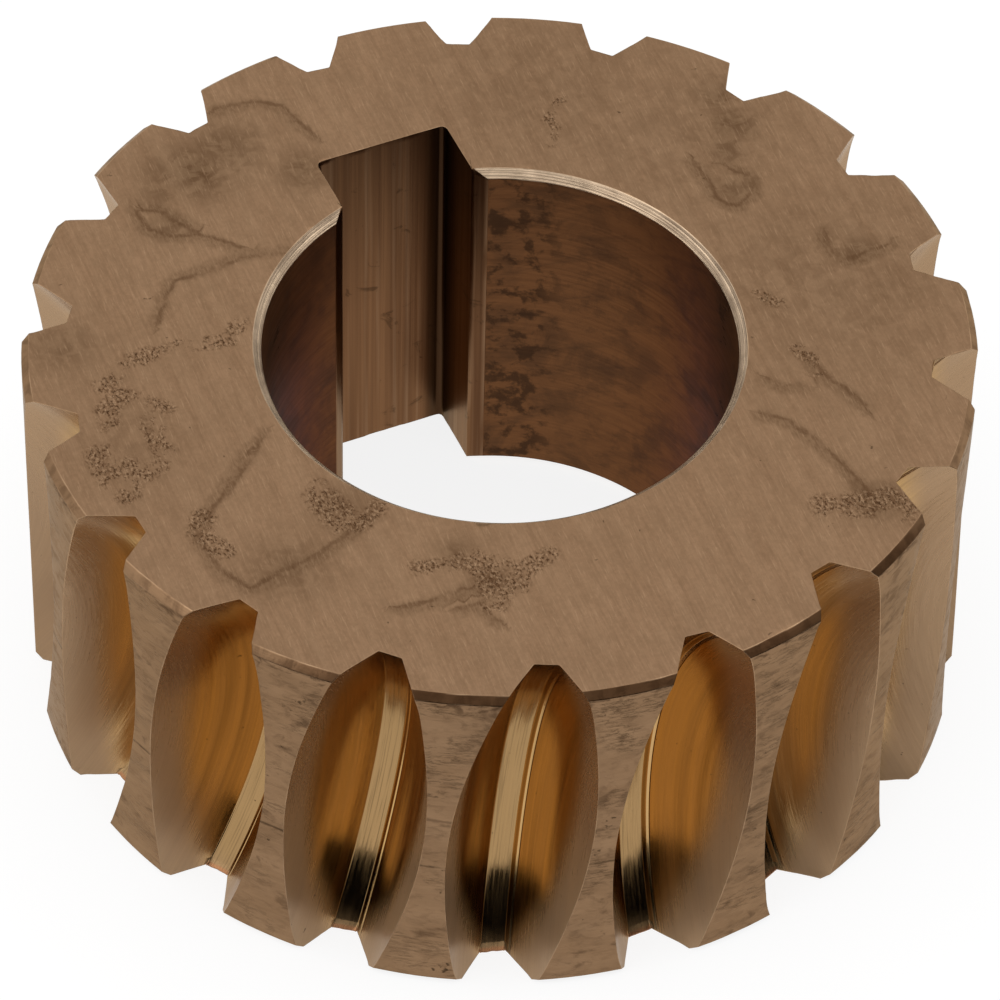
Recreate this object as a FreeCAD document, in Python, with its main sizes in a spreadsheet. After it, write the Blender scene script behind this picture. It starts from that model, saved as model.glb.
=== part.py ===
"""Worm gear: a bronze wheel with hobbed teeth, a plain bore and one keyway.

The wheel lies on its side face with its axis along +Z. The origin is the centre of the
bore at mid-width, and the keyway faces +Y. All sizes are in millimetres.
"""
import FreeCAD, Part
import os
import Sketcher

NODE = "worm_gear"

# Driving sizes: name, value, what it sets
SIZES = [
    ("axial_module", 2.0, "tooth size: pitch diameter over tooth count"),
    ("tooth_count", 18, "number of teeth"),
    ("face_width", 18.0, "width of the wheel along its axis"),
    ("bore_diameter", 20.0, "shaft size"),
    ("keyway_width", 6.0, "key width"),
    ("keyway_depth", 2.8, "key seat depth beyond the bore wall"),
    ("keyway_corner_radius", 0.25, "corner between the keyway's floor and walls"),
    ("keyway_edge_break", 0.35, "chamfer where the keyway opens into the bore"),
    ("rim_chamfer", 0.3, "chamfer round both rims"),
    ("bore_chamfer", 0.35, "chamfer at both bore mouths"),
    ("worm_pitch_diameter", 22.8, "pitch cylinder of the mating worm"),
    ("hob_lean", 6.1, "lean of the hob's axis from the wheel's faces, degrees"),
    ("dedendum", 3.1, "gap depth below the pitch circle at mid-width"),
    ("pressure_angle", 20.0, "slope of the tooth flanks, degrees"),
    ("gap_floor_width", 1.0, "flat at the bottom of a gap"),
    ("gap_floor_break", 0.2, "bevel between that flat and the root relief"),
    ("gap_shoulder_depth", 1.55, "height of the wide root relief above the floor"),
    ("gap_shoulder_width", 3.5, "gap width where the relief meets the flanks"),
    ("cut_clearance", 1.0, "how far a cut reaches past the blank"),
    ("key_to_gap_angle", 0.8, "from the keyway's middle to the nearest gap's middle, degrees"),
]

# Sizes that follow from the driving ones
HALF_WIDTH = "(sizes.face_width / 2)"
BORE_RADIUS = "(sizes.bore_diameter / 2)"
KEYWAY_HALF = "(sizes.keyway_width / 2)"
PITCH_RADIUS = "(sizes.axial_module * sizes.tooth_count / 2)"
OUTSIDE_RADIUS = f"({PITCH_RADIUS} + sizes.axial_module)"
CENTRE_DISTANCE = f"({PITCH_RADIUS} + sizes.worm_pitch_diameter / 2)"
HOB_RADIUS = "(sizes.worm_pitch_diameter / 2 + sizes.dedendum)"
RIM_TO_WORM = f"({CENTRE_DISTANCE} - {OUTSIDE_RADIUS})"
HALF_SWEEP = f"atan(({HALF_WIDTH} + sizes.cut_clearance) / {RIM_TO_WORM})"
FULL_TURN = 360

ALONG_Y = FreeCAD.Vector(0, 1, 0)
ALONG_Z = FreeCAD.Vector(0, 0, 1)


def make_sheet(doc):
    """The driving sizes, one row each."""
    sheet = doc.addObject("Spreadsheet::Sheet", "sizes")
    for row, (name, value, meaning) in enumerate(SIZES, start=1):
        sheet.set(f"A{row}", name)
        sheet.set(f"B{row}", str(value))
        sheet.set(f"C{row}", meaning)
        sheet.setAlias(f"B{row}", name)
    doc.recompute()
    return sheet


def origin_feature(body, role):
    """One of the body's own origin planes or axes."""
    for feature in body.Origin.OriginFeatures:
        if feature.Role == role:
            return feature
    raise ValueError(f"the body has no {role}")


def turned(item, axis, angle):
    """A placement at the origin, turned about an axis by an angle worked out from the sheet."""
    return FreeCAD.Placement(FreeCAD.Vector(), FreeCAD.Rotation(axis, item.evalExpression(angle)))


def add_sketch(body, name, plane):
    """An empty sketch on one of the body's origin planes."""
    sketch = body.newObject("Sketcher::SketchObject", name)
    sketch.AttachmentSupport = [(origin_feature(body, plane), "")]
    sketch.MapMode = "FlatFace"
    return sketch


def bind(sketch, constraint, expression):
    """Adds a constraint whose value follows the sheet."""
    index = sketch.addConstraint(constraint)
    sketch.setExpression(f"Constraints[{index}]", expression)


def draw_outline(sketch, corners):
    """A closed outline of straight lines, with both places of each corner bound to the sheet."""
    points = []
    for across, along in corners:
        place = (sketch.evalExpression(across), sketch.evalExpression(along), 0)
        points.append(FreeCAD.Vector(*place))
    lines = []
    for point, following in zip(points, points[1:] + points[:1]):
        lines.append(sketch.addGeometry(Part.LineSegment(point, following), False))
    for line, following in zip(lines, lines[1:] + lines[:1]):
        sketch.addConstraint(Sketcher.Constraint("Coincident", line, 2, following, 1))
    for line, point, (across, along) in zip(lines, points, corners):
        bind(sketch, Sketcher.Constraint("DistanceX", -1, 1, line, 1, point.x), across)
        bind(sketch, Sketcher.Constraint("DistanceY", -1, 1, line, 1, point.y), along)
    return lines


def round_corner(sketch, line_before, line_after, radius):
    """Rounds the corner between two lines and keeps the corner's own place."""
    corner = sketch.getPoint(line_after, 1)
    near_before = (sketch.getPoint(line_before, 1) + corner) / 2
    near_after = (sketch.getPoint(line_after, 2) + corner) / 2
    size = sketch.evalExpression(radius)
    arc = sketch.GeometryCount
    sketch.fillet(line_before, line_after, near_before, near_after, size, True, True)
    bind(sketch, Sketcher.Constraint("Radius", arc, size), radius)


def turn_blank(body):
    """The turned blank: one ring section with both rims and both bore mouths chamfered."""
    sketch = add_sketch(body, "blank_section", "XZ_Plane")
    face_inner = f"{BORE_RADIUS} + sizes.bore_chamfer"
    face_outer = f"{OUTSIDE_RADIUS} - sizes.rim_chamfer"
    bore_end = f"{HALF_WIDTH} - sizes.bore_chamfer"
    rim_end = f"{HALF_WIDTH} - sizes.rim_chamfer"
    draw_outline(sketch, [
        (face_inner, f"-{HALF_WIDTH}"),
        (face_outer, f"-{HALF_WIDTH}"),
        (OUTSIDE_RADIUS, f"-({rim_end})"),
        (OUTSIDE_RADIUS, rim_end),
        (face_outer, HALF_WIDTH),
        (face_inner, HALF_WIDTH),
        (BORE_RADIUS, bore_end),
        (BORE_RADIUS, f"-({bore_end})"),
    ])
    blank = body.newObject("PartDesign::Revolution", "blank")
    blank.Profile = sketch
    blank.ReferenceAxis = (sketch, ["V_Axis"])
    blank.Angle = FULL_TURN
    return blank


def broach_keyway(body):
    """The keyway, from face to face, with rounded floor corners and broken mouth edges."""
    sketch = add_sketch(body, "keyway_section", "XY_Plane")
    sketch.AttachmentOffset = turned(sketch, ALONG_Z, "sizes.key_to_gap_angle")
    sketch.setExpression("AttachmentOffset.Rotation.Angle", "sizes.key_to_gap_angle")
    floor = f"{BORE_RADIUS} + sizes.keyway_depth"
    wall_end = f"sqrt({BORE_RADIUS} ^ 2 - {KEYWAY_HALF} ^ 2) + sizes.keyway_edge_break"
    mouth = f"{wall_end} - 2 * sizes.keyway_edge_break"
    mouth_half = f"{KEYWAY_HALF} + 2 * sizes.keyway_edge_break"
    lines = draw_outline(sketch, [
        (f"-{KEYWAY_HALF}", floor),
        (f"-{KEYWAY_HALF}", wall_end),
        (f"-({mouth_half})", mouth),
        (mouth_half, mouth),
        (KEYWAY_HALF, wall_end),
        (KEYWAY_HALF, floor),
    ])
    last = lines[-1]
    round_corner(sketch, lines[-2], last, "sizes.keyway_corner_radius")
    round_corner(sketch, last, lines[0], "sizes.keyway_corner_radius")
    keyway = body.newObject("PartDesign::Pocket", "keyway")
    keyway.Profile = sketch
    keyway.Type = "ThroughAll"
    keyway.SideType = "Symmetric"
    return keyway


def hob_gap(body):
    """One tooth gap: the hob's tooth section turned about the hob's axis.

    The section lies in a plane through that axis at the wheel's mid-width, with its floor
    at the hob's reach. The plane leans, so the gap crosses the rim on a slant, and the
    turn hollows it from face to face so that it clasps the worm. Faces stay as they are cut,
    because joining them shifts the edges between the hollow flanks and the rim.
    """
    sketch = add_sketch(body, "gap_section", "XY_Plane")
    sketch.AttachmentOffset = turned(sketch, -ALONG_Y, "sizes.hob_lean")
    sketch.setExpression("AttachmentOffset.Rotation.Angle", "sizes.hob_lean")
    sketch.setExpression("AttachmentOffset.Base.y", CENTRE_DISTANCE)
    floor_half = "sizes.gap_floor_width / 2"
    shoulder_half = "sizes.gap_shoulder_width / 2"
    shoulder = f"({HOB_RADIUS} - sizes.gap_shoulder_depth)"
    top = f"({RIM_TO_WORM} - sizes.cut_clearance)"
    top_half = f"{shoulder_half} + ({shoulder} - {top}) * tan(sizes.pressure_angle)"
    flat_half = f"{floor_half} - sizes.gap_floor_break"
    relief_spread = f"({shoulder_half} - {floor_half}) / sizes.gap_shoulder_depth"
    relief = f"({HOB_RADIUS} - sizes.gap_floor_break)"
    relief_half = f"{floor_half} + {relief_spread} * sizes.gap_floor_break"
    draw_outline(sketch, [
        (f"-({top_half})", f"-{top}"),
        (f"-({shoulder_half})", f"-{shoulder}"),
        (f"-({relief_half})", f"-{relief}"),
        (f"-({flat_half})", f"-{HOB_RADIUS}"),
        (flat_half, f"-{HOB_RADIUS}"),
        (relief_half, f"-{relief}"),
        (shoulder_half, f"-{shoulder}"),
        (top_half, f"-{top}"),
    ])
    gap = body.newObject("PartDesign::Groove", "gap")
    gap.Profile = sketch
    gap.ReferenceAxis = (sketch, ["H_Axis"])
    gap.Midplane = True
    gap.Refine = False
    gap.setExpression("Angle", f"2 * {HALF_SWEEP}")
    return gap


def repeat_gap(body, gap):
    """The gap repeated evenly round the wheel."""
    gaps = body.newObject("PartDesign::PolarPattern", "gaps")
    gaps.Originals = [gap]
    gaps.Axis = (origin_feature(body, "Z_Axis"), [""])
    gaps.Angle = FULL_TURN
    gaps.Refine = False
    gaps.setExpression("Occurrences", "sizes.tooth_count")
    body.Tip = gaps
    return gaps


def make_wheel(doc):
    """The whole wheel, turned so that its keyway faces +Y."""
    body = doc.addObject("PartDesign::Body", NODE)
    body.Label = NODE
    body.Placement = turned(body, -ALONG_Z, "sizes.key_to_gap_angle")
    body.setExpression("Placement.Rotation.Angle", "sizes.key_to_gap_angle")
    blank = turn_blank(body)
    doc.recompute()
    keyway = broach_keyway(body)
    doc.recompute()
    gap = hob_gap(body)
    doc.recompute()
    gaps = repeat_gap(body, gap)
    doc.recompute()
    check_cuts([blank, keyway, gap, gaps])
    return body


def check_cuts(steps):
    """Each cut has to take metal away."""
    for before, after in zip(steps, steps[1:]):
        removed = before.Shape.Volume - after.Shape.Volume
        print(f"{after.Name} removes {removed:.1f} cubic millimetres")
        if removed <= 0:
            raise RuntimeError(f"{after.Name} cuts nothing")


def check_document(doc):
    """No object may have failed, and the wheel has to be one valid solid."""
    for item in doc.Objects:
        if "Invalid" in item.State or "Error" in item.State:
            raise RuntimeError(f"{item.Name} failed: {item.State}")
    shape = doc.getObject(NODE).Shape
    if shape.isNull() or not shape.isValid() or len(shape.Solids) != 1:
        raise RuntimeError(f"{NODE} isn't one valid solid")


def main():
    doc = FreeCAD.newDocument("worm_gear_model")
    make_sheet(doc)
    wheel = make_wheel(doc)
    doc.recompute()
    check_document(doc)
    os.makedirs("parts", exist_ok=True)
    wheel.Shape.exportStep(os.path.join("parts", f"{NODE}.step"))
    print(f"{NODE}: {wheel.Shape.Volume:.1f} cubic millimetres, {len(wheel.Shape.Faces)} faces")


main()
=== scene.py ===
"""Looks, stage and camera for a hobbed bronze worm gear with a keyed bore.

Everything is in metres in the part's own frame: the axis is +Z, the origin is the centre
of the bore at mid-width and the keyway faces +Y.
"""

import functools
import math

import bmesh
import bpy
from bpy.props import FloatProperty, FloatVectorProperty, IntProperty, PointerProperty
from mathutils import Matrix, Vector, noise


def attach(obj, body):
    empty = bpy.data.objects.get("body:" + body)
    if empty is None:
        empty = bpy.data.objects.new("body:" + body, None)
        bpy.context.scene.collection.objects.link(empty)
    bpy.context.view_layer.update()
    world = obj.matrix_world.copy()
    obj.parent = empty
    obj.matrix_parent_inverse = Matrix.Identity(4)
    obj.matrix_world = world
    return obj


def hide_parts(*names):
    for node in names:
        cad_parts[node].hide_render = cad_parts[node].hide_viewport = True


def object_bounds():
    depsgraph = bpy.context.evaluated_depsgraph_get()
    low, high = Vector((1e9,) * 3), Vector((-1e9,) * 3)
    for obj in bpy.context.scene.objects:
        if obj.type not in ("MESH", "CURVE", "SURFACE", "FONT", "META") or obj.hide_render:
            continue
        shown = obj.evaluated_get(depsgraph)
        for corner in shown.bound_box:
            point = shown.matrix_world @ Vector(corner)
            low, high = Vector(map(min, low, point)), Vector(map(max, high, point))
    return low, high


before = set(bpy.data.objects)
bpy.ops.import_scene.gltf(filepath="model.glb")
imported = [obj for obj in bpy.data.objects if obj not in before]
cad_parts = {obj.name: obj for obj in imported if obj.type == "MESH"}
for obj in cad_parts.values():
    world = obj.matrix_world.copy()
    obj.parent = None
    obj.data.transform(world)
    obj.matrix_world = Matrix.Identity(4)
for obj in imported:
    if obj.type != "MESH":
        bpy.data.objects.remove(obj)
CAD_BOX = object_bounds()

bl_info = {
    "name": "Worm gear",
    "version": (1, 0, 0),
    "blender": (4, 5, 0),
    "location": "View3D > Sidebar > Worm gear",
    "description": "A worn bronze worm gear with hobbed teeth, on a pale studio floor",
    "category": "Add Mesh",
}

MM = 0.001
NODE = "worm_gear"
UV_NAME = "surface"


def linear(hex_colour):
    """An sRGB hex colour as the linear red, green and blue that shaders use."""
    channels = []
    for start in (1, 3, 5):
        value = int(hex_colour[start:start + 2], 16) / 255
        channels.append(value / 12.92 if value <= 0.04045 else ((value + 0.055) / 1.055) ** 2.4)
    return tuple(channels)


def length(name, millimetres, description):
    """A size in the sidebar, shown as a length."""
    return FloatProperty(name=name, description=description, default=millimetres * MM,
                         min=0, precision=5, unit="LENGTH")


def angle(name, degrees, description):
    """An angle in the sidebar."""
    return FloatProperty(name=name, description=description,
                         default=math.radians(degrees), subtype="ANGLE")


def colour(name, hex_colour, description):
    """A colour in the sidebar, given as sRGB hex."""
    return FloatVectorProperty(name=name, description=description, size=3, min=0, max=1,
                               default=linear(hex_colour), subtype="COLOR")


class WheelSizes(bpy.types.PropertyGroup):
    """The wheel's sizes, the same as the solid's."""
    tooth_count: IntProperty(name="Teeth", description="Number of teeth", default=18, min=6)
    outside_diameter: length("Outside diameter", 40, "Over the tooth tips")
    face_width: length("Face width", 18, "Along the axis")
    hob_distance: length("Hob distance", 29.4, "From the wheel's axis to the hob's")
    hob_reach: length("Hob reach", 14.5, "Radius of the hob over its tooth tips")
    hob_lean: angle("Hob lean", 6.1, "Lean of the hob's axis from the wheel's faces")
    floor_width: length("Gap floor width", 1.0, "Flat at the bottom of a gap")
    floor_round: length("Gap floor corner", 0.10, "Rounding beside that flat")
    shoulder_depth: length("Shoulder height", 1.55, "Height of the root relief")
    shoulder_width: length("Shoulder width", 3.5, "Gap width at the top of the relief")
    shoulder_round: length("Shoulder rounding", 4.0, "Rounding from relief to flank")
    flank_angle: angle("Flank angle", 20, "Slope of the tooth flanks")
    first_gap: angle("First gap", 89.2, "Direction of the gap beside the keyway")
    rim_chamfer: length("Rim chamfer", 0.3, "Chamfer round both rims")
    bore_diameter: length("Bore", 20, "Shaft size")
    bore_chamfer: length("Bore chamfer", 0.35, "Chamfer at both bore mouths")
    keyway_width: length("Keyway width", 6, "Key width")
    keyway_depth: length("Keyway depth", 2.8, "Key seat depth beyond the bore wall")
    keyway_round: length("Keyway corner", 0.25, "Rounding between floor and walls")
    keyway_break: length("Keyway edge", 0.35, "Chamfer where the keyway meets the bore")
    edge_softness: length("Edge softness", 0.035, "Half the width of a worn edge")


class RoundedPath:
    """Straight lines with rounded corners, followed by the length along them."""

    def __init__(self, corners, radii):
        self.pieces = []
        self.marks = []
        self.total = 0.0
        start = Vector(corners[0])
        for i, radius in enumerate(radii, start=1):
            corner = Vector(corners[i])
            into = (corner - start).normalized()
            out = (Vector(corners[i + 1]) - corner).normalized()
            turn = math.atan2(into.x * out.y - into.y * out.x, into.dot(out))
            cut = radius * math.tan(abs(turn) / 2)
            begin = corner - into * cut
            self._add(start, into, (begin - start).length, 0.0)
            if radius > 0:
                self._add(begin, into, radius * abs(turn), turn)
            start = corner + out * cut
        last = Vector(corners[-1])
        self._add(start, (last - start).normalized(), (last - start).length, 0.0)

    def _add(self, start, heading, size, turn):
        self.pieces.append((self.total, start, heading, size, turn))
        self.total += size
        self.marks.append(self.total)

    def at(self, distance):
        """The point that far along the path. Past its end it carries straight on."""
        for begin, start, heading, size, turn in self.pieces:
            if distance <= begin + size:
                break
        run = distance - begin
        if not turn:
            return start + heading * run
        radius = size / abs(turn)
        side = Vector((-heading.y, heading.x)) * math.copysign(1, turn)
        swing = run / radius
        across = side * (1 - math.cos(swing))
        return start + (heading * math.sin(swing) + across) * radius


def between(first, last, count):
    """That many values evenly spaced strictly between two ends."""
    return [first + (last - first) * (i + 1) / (count + 1) for i in range(count)]


HALF_GAP = 14        # columns from a gap's middle to its corner
LAND = 7             # columns inside the land between two gaps
PITCH = 2 * HALF_GAP + 1 + LAND
KEYWAY_WALL = 28     # columns from the keyway's middle to the end of its wall
HALF_KEYWAY = 32     # columns from the keyway's middle to where it meets the bore wall
SIDE_ROWS = 45       # stations inside the height of the lands and the gaps
BORE_ROWS = 10       # stations inside the height of the bore
UPPER_RINGS = 26     # stations across the upper face, which has dents
LOWER_RINGS = 10     # stations across the lower face


class Wheel:
    """Where each point of the wheel's skin lies.

    The skin is a grid. Its columns run round the wheel and follow the corners of the gaps
    and of the keyway. Its stations run round the wheel's section: up the side, in over the
    upper face, down the bore and out under the lower face.
    """

    def __init__(self, sizes):
        self.sizes = sizes
        self.half = sizes.face_width / 2
        self.rim = sizes.outside_diameter / 2
        self.bore = sizes.bore_diameter / 2
        self.soft = sizes.edge_softness
        self.close = 0.1 * self.soft     # heights as near as this count as the same
        self.columns = PITCH * sizes.tooth_count
        half_floor = sizes.floor_width / 2
        half_shoulder = sizes.shoulder_width / 2
        rise = sizes.hob_reach - sizes.shoulder_depth
        spread = half_shoulder + rise * math.tan(sizes.flank_angle)
        self.section = RoundedPath(
            [(0, 0), (half_floor, 0), (half_shoulder, sizes.shoulder_depth),
             (spread, sizes.shoulder_depth + rise)],
            [sizes.floor_round, sizes.shoulder_round])
        half_key = sizes.keyway_width / 2
        floor = self.bore + sizes.keyway_depth
        wall_end = math.sqrt(self.bore ** 2 - half_key ** 2) + sizes.keyway_break
        self.keyway = RoundedPath(
            [(0, floor), (half_key, floor), (half_key, wall_end),
             (half_key + wall_end, 0)],
            [sizes.keyway_round, 0])
        self.stations = self.list_stations()

    def list_stations(self):
        """(zone, height or share of the way in) for each station, in order."""
        soft, half = self.soft, self.half
        chamfer = half - self.sizes.rim_chamfer
        edge = [half, half - soft, chamfer + soft, chamfer, chamfer - soft]
        side = [-z for z in edge] + between(-edge[-1], edge[-1], SIDE_ROWS) + edge[::-1]
        mouth = half - self.sizes.bore_chamfer
        lip = [half, half - soft, mouth + soft, mouth, mouth - soft]
        bore = lip + between(lip[-1], -lip[-1], BORE_ROWS) + [-z for z in lip[::-1]]
        rings = [0.0] + between(0, 1, UPPER_RINGS) + [1.0]
        under = [0.0] + between(0, 1, LOWER_RINGS) + [1.0]
        stations = [("side", z) for z in side]
        stations += [("upper", share) for share in rings]
        stations += [("bore", z) for z in bore]
        stations += [("lower", 1 - share) for share in under]
        return stations

    def rim_radius(self, z):
        """Radius of the turned blank at a height."""
        return self.rim - max(0.0, abs(z) - (self.half - self.sizes.rim_chamfer))

    def gap_point(self, distance, z):
        """(turn from the gap's middle, radius) of a point on the gap's wall.

        The hob's tooth section turns about the hob's leaning axis, so a height on the
        wheel fixes how far round that axis the section has come.
        """
        across, depth = self.section.at(abs(distance))
        across = math.copysign(across, distance)
        lean = self.sizes.hob_lean
        reach = self.sizes.hob_reach - depth
        climb = (z + across * math.sin(lean)) / math.cos(lean)
        inward = math.sqrt(max(reach ** 2 - climb ** 2, 0.0))
        sideways = across * math.cos(lean) + climb * math.sin(lean)
        outward = self.sizes.hob_distance - inward
        return math.atan2(sideways, outward), math.hypot(sideways, outward)

    def gap_edge(self, z, side):
        """Length along the section at which the gap's wall meets the rim."""
        low, high = 0.0, self.sizes.hob_reach / 2
        radius = self.rim_radius(z)
        for _ in range(40):
            middle = (low + high) / 2
            if self.gap_point(side * middle, z)[1] < radius:
                low = middle
            else:
                high = middle
        return low

    @functools.cache
    def outer_row(self, z):
        """(turn from the gap's middle, radius, length along the surface) over one pitch."""
        floor_end, corner_end = self.section.marks[0], self.section.marks[1]
        walls = {}
        for side in (-1, 1):
            end = self.gap_edge(z, side)
            steps = [floor_end / 2, floor_end] + between(floor_end, corner_end, 2) + [corner_end]
            steps += between(corner_end, end - self.soft, 7) + [end - self.soft, end]
            walls[side] = [(*self.gap_point(side * step, z), side * step) for step in steps]
        row = walls[-1][::-1] + [(*self.gap_point(0.0, z), 0.0)] + walls[1]
        pitch = 2 * math.pi / self.sizes.tooth_count
        radius = self.rim_radius(z)
        first = walls[1][-1][0]
        last = walls[-1][-1][0] + pitch
        soft = self.soft / radius
        turns = [first + soft] + between(first + soft, last - soft, LAND - 2) + [last - soft]
        return row + [(turn, radius, turn * self.rim) for turn in turns]

    @functools.cache
    def inner_row(self, z):
        """(turn from the keyway's middle, radius, length along the surface), over half a turn."""
        mouth = self.half - self.sizes.bore_chamfer
        radius = self.bore + max(0.0, abs(z) - mouth)
        floor_end, corner_end = self.keyway.marks[:2]
        wall_end, flare = self.wall_and_flare(radius)
        soft = self.soft
        soft_turn = soft / radius
        steps = [0.0] + between(0, floor_end - soft, 10) + [floor_end - soft, floor_end]
        steps += between(floor_end, corner_end, 2) + [corner_end, corner_end + soft]
        steps += between(corner_end + soft, wall_end - soft, 10) + [wall_end - soft, wall_end]
        if flare:
            steps += between(wall_end, wall_end + flare, 3) + [wall_end + flare]
        row = []
        for step in steps:
            across, out = self.keyway.at(step)
            row.append((math.atan2(across, out), math.hypot(across, out), step))
        while len(row) <= HALF_KEYWAY:
            turn, _, run = row[-1]
            row.append((turn + 0.8 * soft_turn, radius, run + 0.8 * soft))
        last = row[-1][0]
        rest = self.columns // 2 - HALF_KEYWAY - 1
        turns = [last + soft_turn] + between(last + soft_turn, math.pi, rest - 1) + [math.pi]
        return row + [(turn, radius, turn * self.bore) for turn in turns]

    def wall_and_flare(self, radius):
        """Length along the keyway's outline to its wall's end, and its broken edge's length.

        The bore's chamfer takes the broken edge away near the faces, and then some wall.
        """
        half_key = self.sizes.keyway_width / 2
        wall_end = math.sqrt(self.bore ** 2 - half_key ** 2) + self.sizes.keyway_break
        half_difference = (wall_end - half_key) / 2
        middle = (wall_end + half_key) / 2
        step = half_difference - math.sqrt(max(radius ** 2 / 2 - middle ** 2, 0.0))
        if step * math.sqrt(2) > 4 * self.soft:
            return self.keyway.marks[2], step * math.sqrt(2)
        return self.keyway.marks[2] - (math.sqrt(radius ** 2 - half_key ** 2) - wall_end), 0.0

    def outline(self, column, z):
        """(direction, radius, length) of the wheel's outer edge at a column and height."""
        gap, place = divmod(column + HALF_GAP, PITCH)
        pitch = 2 * math.pi / self.sizes.tooth_count
        turn, radius, run = self.outer_row(z)[place]
        return self.sizes.first_gap + gap * pitch + turn, radius, run

    def bore_line(self, column, z):
        """(direction, radius, length) of the bore's or keyway's wall at a column and height."""
        if column > self.columns // 2:
            turn, radius, run = self.inner_row(z)[self.columns - column]
            return math.radians(450) - turn, radius, 2 * math.pi * self.bore - run
        turn, radius, run = self.inner_row(z)[column]
        return math.radians(90) + turn, radius, run

    def face_point(self, column, share, z):
        """A point on a side face, a share of the way in from the rim to the bore."""
        outer_stop = self.inset(self.outline, z, -1)[column]
        inner_stop = self.inset(self.bore_line, z, 1)[column]
        turn = outer_stop[0] + (inner_stop[0] - outer_stop[0]) * share
        radius = outer_stop[1] + (inner_stop[1] - outer_stop[1]) * share
        return turn, radius

    @functools.cache
    def inset(self, line, z, side):
        """(direction, radius) for each column of a line, moved into the face by the softness."""
        turns = [line(column, z)[0] for column in range(self.columns)]
        points = [polar(*line(column, z)[:2]) for column in range(self.columns)]
        moved = []
        for column, here in enumerate(points):
            after = points[(column + 1) % self.columns]
            along = (here - points[column - 1]).normalized() + (after - here).normalized()
            place = here + Vector((along.y, -along.x)).normalized() * side * self.soft
            change = math.atan2(here.x * place.y - here.y * place.x, here.dot(place))
            moved.append((turns[column] + change, place.length))
        return moved

    def place(self, column, station):
        """The point of the skin at a column and a station."""
        zone, value = self.stations[station]
        if zone == "side":
            turn, radius, _ = self.outline(column, value)
            z = value
        elif zone == "bore":
            turn, radius, _ = self.bore_line(column, value)
            z = value
        else:
            z = self.half if zone == "upper" else -self.half
            turn, radius = self.face_point(column, value, z)
        flat = polar(turn, radius)
        return Vector((flat.x, flat.y, z))


def polar(turn, radius):
    """A point in the plane from its direction and its distance."""
    return Vector((radius * math.cos(turn), radius * math.sin(turn)))


STATION_TAG = "station"
GRIND_TURN = math.radians(2.5)   # from the Y axis to the grinding lines
NICKS = ((900, 0.6), (2600, 0.4))    # noise waves in a metre and their weight
NICK_DEPTH = 0.05    # millimetres, of the deepest nick in an edge
BURR_SIZE = 0.14     # millimetres, of the burr under a gap
BURR_COLUMNS = 4     # columns that it takes to each side of the gap's middle
TIDE_REACH = 0.8     # millimetres from a tide line to where its stain ends
TIDE_FADE = 0.35     # millimetres over which it ends
STEP_BELOW = 1.5     # millimetres from mid-width down to the step in the lands
BESIDE_KEYWAY = 58   # millimetres round the bore to the grease beside the keyway
SHADED_CORNER = 59.8     # millimetres round the bore to the painted shadow in the keyway's corner
DARK_REFLECTION_SIDE = (-0.09, -1.0, 0.0)      # the way that the rim bevel's side with the painted dark reflection faces

# Dents in the upper face: place across and along, width and depth, in millimetres
DENTS = [
    (16.1, -7.9, 0.9, 0.10), (15.2, -6.4, 0.5, 0.05), (14.9, -6.9, 0.6, 0.04),
    (-7.9, 14.4, 0.4, 0.05), (-4.0, 11.2, 0.35, 0.04), (9.8, -11.0, 0.5, 0.03),
]

# Tide lines that coolant dried to on the upper face: places along each, in millimetres
TIDE_LINES = [
    [(-6.4, 8.3), (-8.1, 8.7), (-9.4, 8.6), (-11.2, 8.5), (-12.0, 7.7), (-12.8, 6.5)],
    [(-5.8, 17.5), (-4.0, 17.4), (-3.1, 16.6), (-2.4, 14.4)],
    [(-11.2, 13.1), (-11.1, 11.8), (-10.2, 11.0), (-9.3, 10.7), (-10.3, 12.7), (-11.2, 13.1)],
    [(-9.3, 10.7), (-8.3, 9.8), (-7.9, 9.4)],
    [(-12.0, -1.7), (-14.1, -3.7), (-15.8, -5.4), (-15.6, -7.5), (-14.9, -8.8),
     (-13.4, -8.5), (-11.8, -8.2), (-10.4, -7.7), (-9.2, -7.0)],
    [(-11.1, -1.2), (-12.2, -2.2), (-13.9, -3.8)],
    [(-9.7, -12.1), (-8.6, -12.3), (-6.8, -12.2)],
    [(-7.4, -13.1), (-6.7, -13.2), (-6.3, -14.4)],
    [(12.0, 6.6), (12.0, 4.2), (12.5, 3.4), (13.4, 3.9), (13.8, 4.7), (13.2, 5.6)],
    [(15.2, 0.4), (15.1, -0.5), (15.6, -1.3), (17.5, -1.1)],
    [(11.5, -6.0), (11.8, -7.5), (12.3, -8.4), (12.5, -9.5)],
    [(9.4, -6.3), (9.7, -6.8), (10.6, -7.3)],
    [(8.3, -8.0), (9.2, -8.8), (9.8, -10.4), (10.4, -13.0), (10.5, -14.4)],
]

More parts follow.
